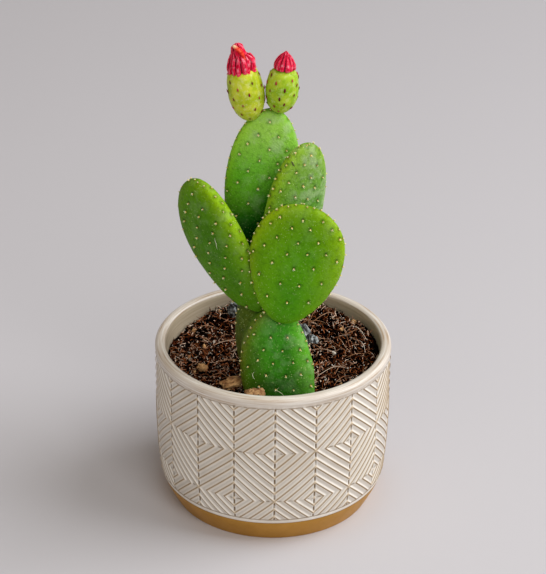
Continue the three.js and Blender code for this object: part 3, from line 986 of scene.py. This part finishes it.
def petalPiece(side, index, material):
    # one petal wrapped round the bud: pleated, lobed below, rounded above, one edge over its neighbour
    flower = flowers[side]
    seed, petals, pleats = flower["seed"] + index, len(flower["tips"]), petalMesh["pleats"]
    rng = random.Random(seed)
    start, axes, length = growthFrame(flower["base"], flower["top"])
    across, along = petalMesh["across"], petalMesh["along"]
    a, t = np.meshgrid(np.linspace(-1, 1, across), np.linspace(0, 1, along))
    loose = flower["loose"] * rng.uniform(-1, 1)
    pleat = (a + 1) / 2
    pleat = pleat + loose * pleat * (1 - pleat) * (1.6 - t) + 0.05 * loose * np.sin(9 * t)
    pleat = np.clip(pleat, 0, 1) * pleats
    ridge = np.abs(np.sin(math.pi * pleat)) ** 0.6
    lobes = np.array([rng.uniform(0.3, 1.2) for _ in range(pleats + 1)])
    lobe = flower["lobe"] * lobes[np.minimum(pleat.astype(int), pleats - 1)] * ridge
    top = flower["tips"][index] - 1.5 * np.abs(a) ** 2.4
    z = (flower["skirt"] - lobe) * (1 - t) + top * t
    level = np.clip(1 + z / length, 0.5, 1 + flower["dome"])
    shoulder = -fruitSurface(flower, np.stack([a * 0, level], axis=-1))[..., 1]  # the fruit's radius there
    middle = 2 * math.pi * index / petals + rng.uniform(-0.1, 0.1)
    half = math.pi / petals * flower["overlap"] * (1 - 0.1 * t) * np.sqrt(1 - 0.8 * t ** 6)
    angle = middle + math.radians(flower["twist"]) * t ** 1.4 + half * a
    radius = throughHeights(flower["profile"], z)
    radius = radius * (1 + flower["lean"] * np.sin(angle) * np.exp(-((z - 6.8) / 2.6) ** 2))
    radius = np.where(z < flower["skirt"] + 1, np.maximum(shoulder + 0.25, radius), radius)
    folds = (0.1 + 0.3 * flower["loose"]) * np.sin(6 * t + 3 * a + seed) * ridge
    outer = radius + flower["pleat"] * (ridge - 0.75) * (1 - 0.3 * t) + flower["layer"] * (a - 0.4) + folds
    thick = petalMesh["thick"] * (1 - 0.45 * np.abs(a) ** 2) * np.minimum(1, radius / 2.5)
    outer = np.maximum(outer - 0.5 * thick * t ** 8, 0.2)
    inner = np.maximum(outer - thick * (1 - 0.6 * t ** 8), 0.05)
    shells = [onAxis(outer, angle, z + length), onAxis(inner, angle, z + length)[:, ::-1]]
    count = 2 * across
    faces = gridFaces(along, count)
    for row in (0, (along - 1) * count):
        for k in range(across - 1):
            face = (row + k, row + k + 1, row + count - 2 - k, row + count - 1 - k)
            faces.append(face[::-1] if row == 0 else face)
    place = np.stack([ridge, t, t * 0 + rng.random()], axis=-1)
    place = np.concatenate([place, place[:, ::-1]], axis=1)
    local = np.concatenate(shells, axis=1).reshape(-1, 3)
    makePiece(f"{side}_petal_{index + 1}_leaf", start + local @ axes, faces, material, slot="petal",
              stands=[f"{side}_petal_{index + 1}"], marks={"petalPlace": place.reshape(-1, 3)})


def budPiece(side, material):
    # the furled inner petals: a creased cone that stands out of the outer ones
    flower = flowers[side]
    start, axes, length = growthFrame(flower["base"], flower["top"])
    share, faces = sphereGrid(petalMesh["budAround"], petalMesh["budAlong"])
    a, b, c = share.T
    t = (1 + c) / 2
    turn = np.arctan2(a, -b)
    wide = np.minimum(1, np.sqrt(a * a + b * b) * 1.6)
    height = flower["furl"][-1][0]
    crease = np.abs(np.sin(2.5 * turn + 1.6 * t + 0.6)) ** 0.6
    radius = np.maximum(throughHeights(flower["furl"], height * t), 0.3) * wide * (0.8 + 0.22 * crease)
    z = height * t * (1 - 0.07 * (1 - crease) * t ** 3)
    local = onAxis(radius, turn, length + 0.5 + z)
    place = np.column_stack([crease, t, np.full(len(a), 0.8)])
    makePiece(side + "_bud_furled", start + local @ axes, faces, material, slot="petal",
              stands=[side + "_bud"], marks={"petalPlace": place})


def foldedTongue(material):
    # the edge of one left petal is folded out and runs down across the others
    flower = flowers["left"]
    start, axes, length = growthFrame(flower["base"], flower["top"])
    z, turn = throughPoints(tongue["path"], 4).T
    radius = throughHeights(flower["furl"], z) + 0.55 + 0.14 * np.maximum(0, 12 - z)
    widths = tongue["width"] * np.sin(np.linspace(0.5, math.pi - 0.12, len(z)))
    points, faces = strand(onAxis(radius, turn, z + length + 0.5), widths, 8, 0.6)
    share = (points[:, 2].max() - points[:, 2]) / np.ptp(points[:, 2])
    marks = {"petalPlace": np.column_stack([np.full(len(points), 0.9), share, np.full(len(points), 0.2)])}
    makePiece("left_petal_fold", start + points @ axes, faces, material, slot="petal", marks=marks)


fruitTones = {
    "left": ("a8bc18", "ccd638", "eceba8"), "right": ("8cb414", "b2cc30", "dce89c"),  # under, over and pale
    # the ring colour is painted shade round each red scale
    "foot": "8fb83c", "ring": "5c7212", "fleck": "eef0b8",
    "scales": ((0.0, "5a0414"), (0.7, "8c0c22"), (1.0, "c83048")),
}
# the crease colour is painted shade in the folds, and the pale colour also paints highlights on the pleat
# tops
petalTones = table("deep pink pale crease start", {
    "petalPink": ("d4042c", "ff1e54", "f8a4b0", "460008"),
    "foldedEdge": ("d42818", "ea3e2a", "f4a07c", "b01c18", "f0dca8"),
})


def fruitSkin(side):
    f = Finish(side + "FruitSkin", Specular_IOR_Level=0.12, Coat_Weight=0.04, Coat_Roughness=0.35)
    under, over, pale = fruitTones[side]
    fleck = f.cells(700).between(0.2, 0.08) * f.grain(200, 2).between(0.45, 0.6)
    green = f.coats(
        under,
        (f.grain(170, 4).between(0.38, 0.62), over),
        (f.grain(560, 4).between(0.48, 0.68) * 0.32, pale),
        ((1 - f.mark("rise").between(0.0, 0.3)) * 0.3, fruitTones["foot"]),
        # painted shade round each scale
        (f.mark("spot").bell(0, 0.85) * 0.65, fruitTones["ring"]),
        (fleck * 0.5, fruitTones["fleck"]))
    return f.wear(Base_Color=green, Roughness=0.4 + f.grain(200, 2) * 0.2,
                  Normal=f.bump(f.grain(700, 3), 0.2, 0.0004))


def petalFinish(name):
    tones = petalTones[name]
    f = Finish(name, Specular_IOR_Level=0.07, Coat_Weight=0.03, Coat_Roughness=0.3)
    ridge, t, one = f.axes(f.mark("petalPlace", "Vector"))
    vein = f.grain(3.2, 4, at=f.add("ShaderNodeCombineXYZ", sockets={0: ridge * 4, 1: t * 1.4, 2: one * 9}))
    colour = f.coats(
        tones["deep"],
        (vein.between(0.35, 0.62), tones["pink"]),
        (vein.between(0.56, 0.7) * 0.7, tones["pale"]),
        # painted shade in the creases
        ((1 - ridge.between(0.12, 0.72)) * 0.88, tones["crease"]),
        # painted highlight on the pleat tops
        (ridge.between(0.88, 1.0) * vein.between(0.45, 0.6) * 0.45, tones["pale"]),
        (f.grain(500, 2).between(0.55, 0.7) * 0.3, tones["pale"]))
    if "start" in tones:
        colour = f.mix((1 - t.between(0.02, 0.2)) * 0.8, colour, tones["start"])
    return f.wear(Base_Color=colour, Roughness=0.36 + vein * 0.2, Normal=f.bump(vein, 0.8, 0.0006))


reds = toneFinish("scaleRed", fruitTones["scales"], Roughness=0.5, Specular_IOR_Level=0.25)
pinks = petalFinish("petalPink")
fruitPiece("left", fruitSkin("left"), reds, 41)
fruitPiece("right", fruitSkin("right"), reds, 43)
for side, flower in flowers.items():
    budPiece(side, pinks)
    for index in range(len(flower["tips"])):
        petalPiece(side, index, pinks)
foldedTongue(petalFinish("foldedEdge"))


# the soil and what lies on it

soil = {
    "level": 76, "bump": 0.7, "rough": 1.5, "wall": innerRadius - 0.3, "bottom": 60,
    "bank": 4.5, "bankFrom": 28, "bankTo": 48, "bankFacing": 60, "bankSpread": 1.35,
    "rings": 90, "columns": 300, "shreds": 6600, "standing": 0.2, "curls": 900, "fibres": 60, "bits": 30,
    "trunkLeft": -23, "trunkRight": 29, "trunkBack": 4,  # the trunk comes up within these
}
grains = table("slot count height size", {  # height over the soil and size are drawn between two limits
    "soil_crumbs": ("soil", 700, (-0.8, 0.4), (0.4, 1.0)),
    "soil_white_grains": ("perlite", 260, (0.2, 1.0), (0.14, 0.36)),
})
# the last column is painted shade on a bark chip
litter = table("at half turn kind damp", {
    "bark_chip_1": ((-9.6, -47, 79.5), (5.2, 2.6, 5.2), (-14, 6, 8), "bark", 0.26),
    "bark_chip_2": ((-20.4, -28.5, 77.6), (5.4, 3.6, 2.6), (8, -6, 18), "bark", 0),
    "bark_chip_3": ((-35.6, -13, 77.2), (2.6, 1.9, 1.6), (0, 12, -30), "bark", 0),
    "pebble_1": ((13.6, 21.5, 78), (4.4, 3.4, 3.4), (10, 0, 25), "pebble", 0),
    "pebble_2": ((19.4, 15.6, 77), (3, 2.4, 2.2), (0, 15, -20), "pebble", 0),
    "pebble_3": ((-20.5, 40.1, 79.9), (3.6, 2.8, 3.4), (0, 8, 15), "pebble", 0),
    "perlite_1": ((31, 4, 76.6), (1.5, 1.3, 1.1), (0, 20, 10), "perlite", 0),
    "perlite_2": ((26, -22, 76.6), (1.3, 1.5, 1.1), (15, 0, 40), "perlite", 0),
    "perlite_3": ((-30, 14, 76.6), (1.6, 1.3, 1.2), (0, -10, 70), "perlite", 0),
    "perlite_4": ((38, 22, 80.6), (1.3, 1.2, 1), (10, 10, 0), "perlite", 0),
    "perlite_5": ((-42, -4, 76.6), (1.4, 1.1, 1), (0, 5, 55), "perlite", 0),
})
litterMesh = {"around": 64, "along": 44}
litterKinds = table("grow rough square", {  # square below 1 makes a lump boxier
    "bark": ((1.05, 1, 1.14), 0.36, 0.88), "pebble": ((1.1, 1.1, 1.45), 0.26, 0.95),
    "perlite": ((0.74, 0.74, 0.74), 0.44, 0.95),
})


def soilHeight(x, y):
    wave = np.sin(x * 0.31 + 1.3) * np.cos(y * 0.27) + np.sin(x * 0.13 - y * 0.19)
    reach = np.hypot(x, y) + 1e-6
    facing = math.radians(soil["bankFacing"])
    share = np.clip((reach - soil["bankFrom"]) / (soil["bankTo"] - soil["bankFrom"]), 0, 1)
    toward = (x * math.cos(facing) + y * math.sin(facing)) / reach
    bank = soil["bank"] * share * share * (3 - 2 * share) * np.clip(soil["bankSpread"] * toward, 0, 1)
    return soil["level"] + soil["bump"] * wave + bank


def inPlant(point, room=0.0):  # whether a point lies inside the trunk
    return trunkDistance(np.asarray(point, float)[None])[0] < room


def soilPlace(rng, edge):  # somewhere on the soil, at least edge from the wall and outside the trunk
    while True:
        reach, turn = (soil["wall"] - edge) * math.sqrt(rng.random()), rng.uniform(0, 2 * math.pi)
        x, y = reach * math.cos(turn), reach * math.sin(turn)
        beside = x < soil["trunkLeft"] or x > soil["trunkRight"] or y > soil["trunkBack"]
        if beside or not inPlant((x, y, soil["level"] + 1.5)):
            return x, y


def soilSpot(rng, edge, low, high):  # the same, with a height drawn between low and high over the soil
    x, y = soilPlace(rng, edge)
    return np.array([x, y, soilHeight(x, y) + rng.uniform(low, high)])


def heading(angle, rise=0.0):
    return np.array([math.cos(angle), math.sin(angle), rise])


def soilBed(material):
    rings, columns = soil["rings"], soil["columns"]
    reach = np.linspace(0, 1, rings + 1)[1:] * soil["wall"]
    r, angle = np.meshgrid(reach, turns(columns), indexing="ij")
    flat = np.column_stack([(r * np.cos(angle)).ravel(), (r * np.sin(angle)).ravel(), np.zeros(r.size)])
    points = np.vstack([[0, 0, 0], flat])
    lump = smoothNoise(points, 0.5, 3) * 0.55 + smoothNoise(points, 1.2, 5) * 0.45
    points[:, 2] = soilHeight(points[:, 0], points[:, 1]) + soil["rough"] * lump - 0.9
    faces = [(0, 1 + k, 1 + (k + 1) % columns) for k in range(columns)]
    faces += [tuple(1 + k for k in face[::-1]) for face in gridFaces(rings, columns)]
    last = len(points) - columns
    rim = points[last:] * (1, 1, 0) + (0, 0, soil["bottom"])
    points = np.vstack([points, rim, (0, 0, soil["bottom"])])
    under = last + columns
    for k in range(columns):
        ahead = (k + 1) % columns
        faces.append((last + k, under + k, under + ahead, last + ahead))
        faces.append((under + k, len(points) - 1, under + ahead))
    makePiece("soil_bed", points, faces, material, slot="soil", stands=["soil"])


def soilShreds(material):
    rng, pile = random.Random(7), Pile()
    for _ in range(soil["shreds"]):
        spot = soilSpot(rng, 1, -0.9, 1.0)
        long, wide = 1.2 + 3.4 * rng.random() ** 2, rng.uniform(0.3, 0.78)
        angle, pitch = rng.uniform(0, 2 * math.pi), rng.gauss(0, 0.45)
        if rng.random() < soil["standing"]:  # some stand up out of the bed
            pitch, spot, wide = rng.uniform(0.5, 1.4), spot + (0, 0, 0.8), wide * 0.8
        way = heading(angle) * math.cos(pitch) + (0, 0, math.sin(pitch))
        bend = np.array([-way[1], way[0], rng.uniform(-0.8, 0.8)]) * rng.uniform(-0.5, 0.5) * long
        path = [spot + way * long * s + bend * (0.25 - s * s) for s in (-0.5, -0.18, 0.18, 0.5)]
        path = [p if math.hypot(p[0], p[1]) < soil["wall"] else p * (0.96, 0.96, 1) for p in path]
        widths = wide * np.array([0.5, 1, 0.9, 0.35])
        pile.add(*strand(path, widths, 4, rng.uniform(0.35, 0.8)), rng.random())
    pile.piece("soil_shreds", material, slot="soil")


def soilCurls(material):
    rng, pile = random.Random(17), Pile()
    for _ in range(soil["curls"]):
        spot, path = soilSpot(rng, 2, 0.3, 1.3), []
        angle, curve, tilt = rng.uniform(0, 2 * math.pi), rng.uniform(-0.55, 0.55), rng.uniform(-0.3, 0.45)
        step = rng.uniform(0.35, 0.8)
        for q in range(7):
            path.append(spot)
            angle += curve
            spot = spot + step * heading(angle, tilt * (1 - q / 3))
        if max(math.hypot(p[0], p[1]) for p in path) < soil["wall"] - 0.4:
            widths = rng.uniform(0.16, 0.34) * np.array([0.4, 0.9, 1, 1, 0.9, 0.8, 0.3])
            pile.add(*strand(path, widths, 4), rng.random())
    pile.piece("soil_curls", material, slot="soil")


def soilFibres(material):
    rng, pile = random.Random(19), Pile()
    for _ in range(soil["fibres"]):
        x, y = soilPlace(rng, 4)
        if x < 0 and rng.random() < 0.45:
            x = -x
        angle, curl = rng.uniform(0, 2 * math.pi), rng.gauss(0, 0.05)
        step, rise = rng.uniform(0.7, 1.7), rng.uniform(0.6, 2.2)
        path = []
        for q in range(13):
            path.append(np.array([x, y, soilHeight(x, y) + 0.5 + rise * math.sin(math.pi * q / 12)]))
            angle += curl + rng.gauss(0, 0.06)
            x, y = x + step * math.cos(angle), y + step * math.sin(angle)
            if math.hypot(x, y) > soil["wall"] - 0.6 or inPlant(path[-1], 0.3):
                break
        if len(path) >= 5:
            middle = np.sin(math.pi * (np.arange(len(path)) + 0.5) / len(path))
            pile.add(*strand(path, rng.uniform(0.2, 0.36) * (0.45 + 0.55 * middle), 5), rng.random())
    pile.piece("soil_fibres", material, slot="soil")


def roundLump(spot, size, rng, rings=5, around=7, low=0.75):
    share, faces = sphereGrid(around, rings)
    jag = np.array([rng.uniform(low, 1.15) for _ in share])
    squash = np.array([rng.uniform(low, 1.2), rng.uniform(low, 1.2), rng.uniform(low - 0.15, 0.95)])
    return np.array(spot) + share * jag[:, None] * squash * size, faces


def soilGrains(materials):
    rng = random.Random(29)
    for name, kind in grains.items():
        pile = Pile()
        for _ in range(kind["count"]):
            spot = soilSpot(rng, 1.5, *kind["height"])
            pile.add(*roundLump(spot, rng.uniform(*kind["size"]), rng), rng.random())
        pile.piece(name, materials[kind["slot"]], slot=kind["slot"], smooth=False)


def barkBits(material):
    rng, pile = random.Random(37), Pile()
    for _ in range(soil["bits"]):
        x, y = soilPlace(rng, 3)
        if x > 0 and rng.random() < 0.6:
            x = -x
        spot = (x, y, soilHeight(x, y) + 0.5)
        if not inPlant(spot, 1.5):
            pile.add(*roundLump(spot, rng.uniform(0.8, 1.8), rng, 6, 7, 0.5), rng.random())
    pile.piece("soil_bark_bits", material, slot="bark", smooth=False)


def litterPiece(name, material, seed):
    item, kind = litter[name], litterKinds[litter[name]["kind"]]
    share, faces = sphereGrid(litterMesh["around"], litterMesh["along"])
    lump = kind["rough"] * (smoothNoise(share, 1.7, seed) + smoothNoise(share, 5.0, seed + 1) * 0.4)
    if item["kind"] == "bark":  # small pits
        lump -= 0.34 * np.clip(smoothNoise(share, 5.4, seed + 2) - 0.1, 0, 1)
    if item["kind"] == "pebble":  # ridges
        lump += 0.11 * np.sin(12 * share[:, 0] + 8 * share[:, 2] + 5 * smoothNoise(share, 1.8, seed))
    square = np.sign(share) * np.abs(share) ** kind["square"]
    local = square * (1 + lump)[:, None] * item["half"] * kind["grow"]
    for angle, axis in zip(item["turn"][::-1], "ZYX"):
        local = local @ np.array(Matrix.Rotation(math.radians(angle), 3, axis)).T
    makePiece(name + "_rough", local + item["at"], faces, material, slot=item["kind"], stands=[name],
              marks={"lump": lump, "damp": np.full(len(lump), item["damp"])})


soilTones = {  # colours of small bodies from the darkest to the palest
    "coirShreds": ((0.0, "000000"), (0.34, "0a0200"), (0.58, "431604"), (0.77, "b66634"), (1.0, "ffe6ce")),
    "coirCurls": ((0.0, "3a1404"), (0.5, "8a4a26"), (0.85, "c89068"), (1.0, "ffe8d0")),
    "soilCrumbs": ((0.0, "000000"), (0.6, "120602"), (1.0, "4a2814")),
    "strawFibre": ((0.0, "8a4f2c"), (0.45, "b88660"), (0.8, "dcc0a4"), (1.0, "f4e6d6")),
    "soilBed": ((0.35, "010000"), (0.6, "0a0301"), (0.8, "241006")),
}
barkTones = {"deep": "9a683c", "light": "daac74", "crack": "5a3218", "pit": "2c1608", "damp": "4a2a14"}
stoneTones = table("deep light streaks", {  # streaks is how dark the veins are, and how much painted shade fills the hollows
    "whiteGrain": ("cfc8bd", "f4efe6", 0), "pebbleGrey": ("4a5052", "b4bab8", 0.95),
    "perliteWhite": ("a89a86", "eee6d8", 0.4),
})
stoneVein, stoneHollowShade = "24201e", "161412"


def coirBrown(name):
    f = Finish(name, Roughness=0.65, Specular_IOR_Level=0.04)
    brown = f.ramp(f.mark("tone"), *soilTones[name])
    brown = f.mix(f.grain(900, 2).between(0.4, 0.7) * 0.4, brown, soilTones[name][0][1])
    return f.wear(Base_Color=brown, Normal=f.bump(f.grain(1500, 2), 0.5, 0.0004))


def bedBrown():
    f = Finish("soilBed", Roughness=0.95, Specular_IOR_Level=0.02)
    brown = f.ramp(f.grain(420, 4), *soilTones["soilBed"])
    return f.wear(Base_Color=brown, Normal=f.bump(f.grain(900, 3), 0.8, 0.0008))


def barkTan():
    f = Finish("barkTan", Roughness=0.85)
    pit = f.cells(640).between(0.32, 0.14) * f.grain(300, 2).between(0.4, 0.55)
    tan = f.coats(
        barkTones["deep"],
        (f.grain(260, 4).between(0.35, 0.65), barkTones["light"]),
        ((1 - f.mark("lump").between(-0.3, -0.04)) * 0.5, barkTones["crack"]),
        (pit * 0.9, barkTones["pit"]),
        # painted shade on a chip that lies in the light
        (f.mark("damp"), barkTones["damp"]))
    return f.wear(Base_Color=tan, Normal=f.bump(f.grain(600, 3) - pit, 0.8, 0.0008))


def stoneFinish(name):
    f, look = Finish(name, Roughness=0.7), stoneTones[name]
    grey = f.mix(f.grain(350, 4).between(0.35, 0.65), look["deep"], look["light"])
    if look["streaks"]:
        # painted shade in the hollows of the lump
        hollowShade = 1 - f.mark("lump").between(-0.16, 0.06)
        grey = f.coats(grey, (f.grain(300, 3).between(0.5, 0.58) * look["streaks"], stoneVein),
                       (hollowShade * look["streaks"], stoneHollowShade))
    return f.wear(Base_Color=grey, Normal=f.bump(f.grain(800, 3), 0.6, 0.0006))


soilBed(bedBrown())
soilShreds(coirBrown("coirShreds"))
soilCurls(coirBrown("coirCurls"))
soilFibres(toneFinish("strawFibre", soilTones["strawFibre"], Roughness=0.6, Specular_IOR_Level=0.3))
soilGrains({"soil": coirBrown("soilCrumbs"), "perlite": stoneFinish("whiteGrain")})
finishes = {"bark": barkTan(), "pebble": stoneFinish("pebbleGrey"), "perlite": stoneFinish("perliteWhite")}
barkBits(finishes["bark"])
for seed, (name, item) in enumerate(litter.items()):
    litterPiece(name, finishes[item["kind"]], 70 + seed)
